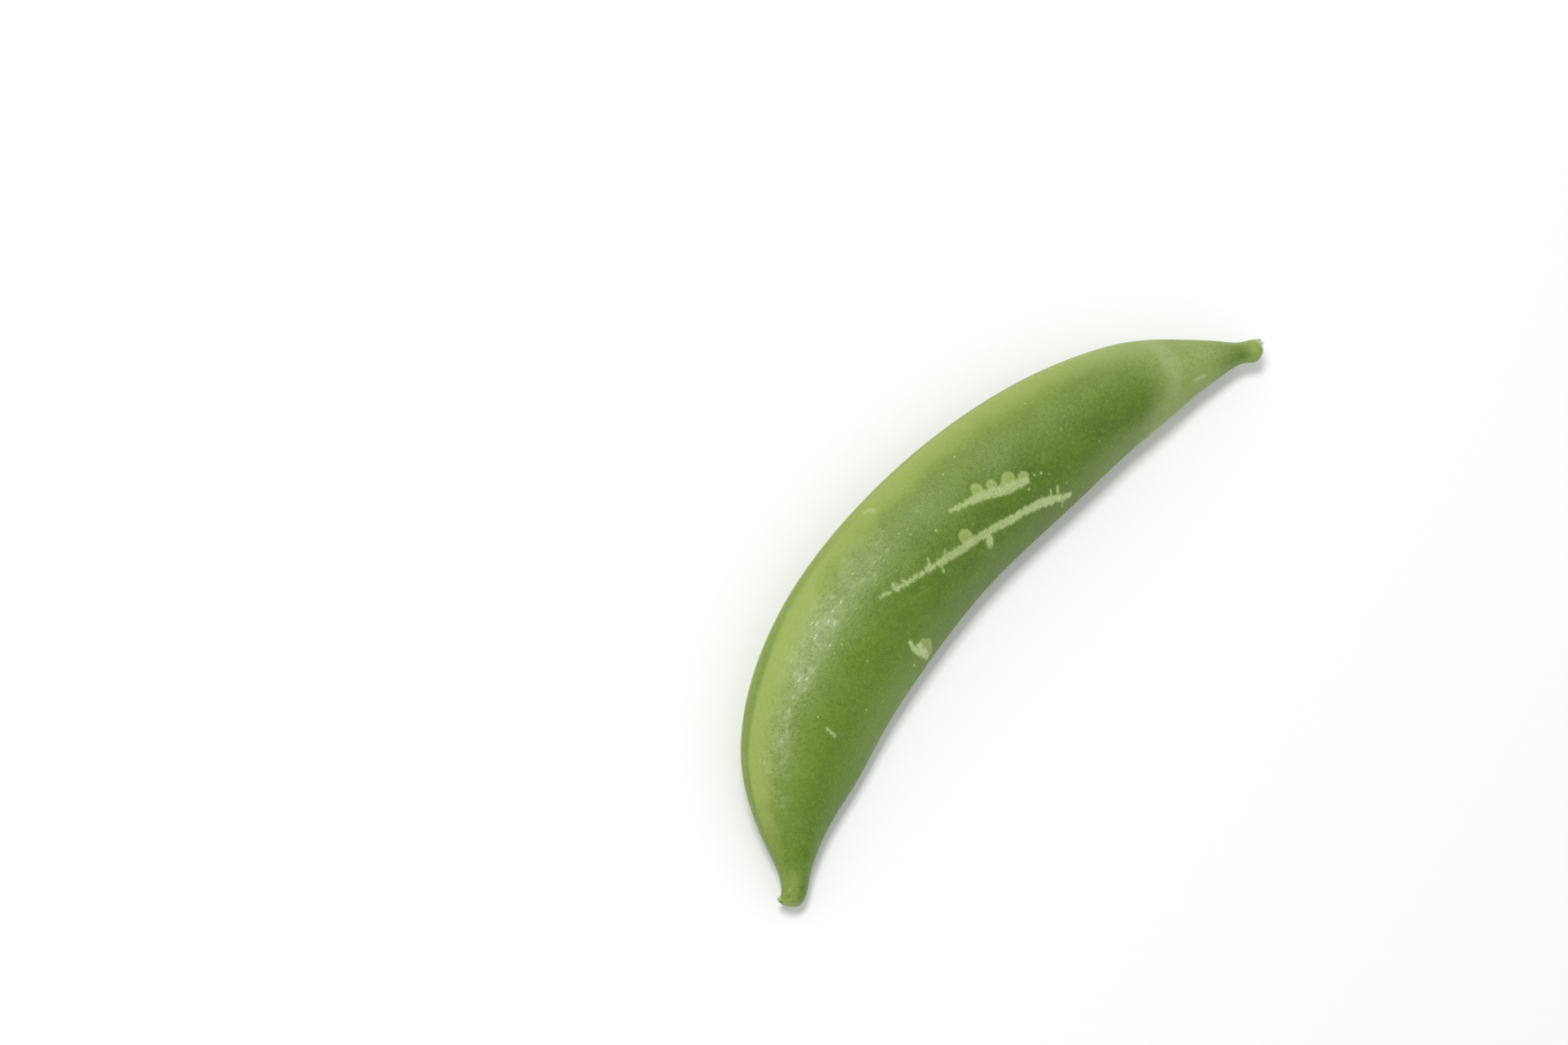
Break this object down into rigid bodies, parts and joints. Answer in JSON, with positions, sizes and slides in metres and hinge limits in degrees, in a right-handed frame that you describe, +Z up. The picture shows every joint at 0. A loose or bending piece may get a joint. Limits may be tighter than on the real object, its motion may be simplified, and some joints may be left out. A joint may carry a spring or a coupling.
{
  "type": "sugar snap pea pod",
  "caption": "Plump, curved green pea pod as picked, with a grooved convex suture, a torn stem collar and a blunt hooked beak, lying on its cheek.",
  "frame": {"origin": "centre of the bounding box's bottom face, on the surface that the pod lies on", "axes": "+X along the chord from the stem collar to the beak, +Y towards the pod's hollow side, +Z up"},
  "size_m": [0.0846, 0.024, 0.0109],
  "materials": {
    "pod_skin": "fresh green skin with a soft waxy sheen, a paler yellow-green band along the convex suture and pale scratches"
  },
  "bodies": {
    "root": {"pod": "pod_skin"}
  },
  "joints": []
}
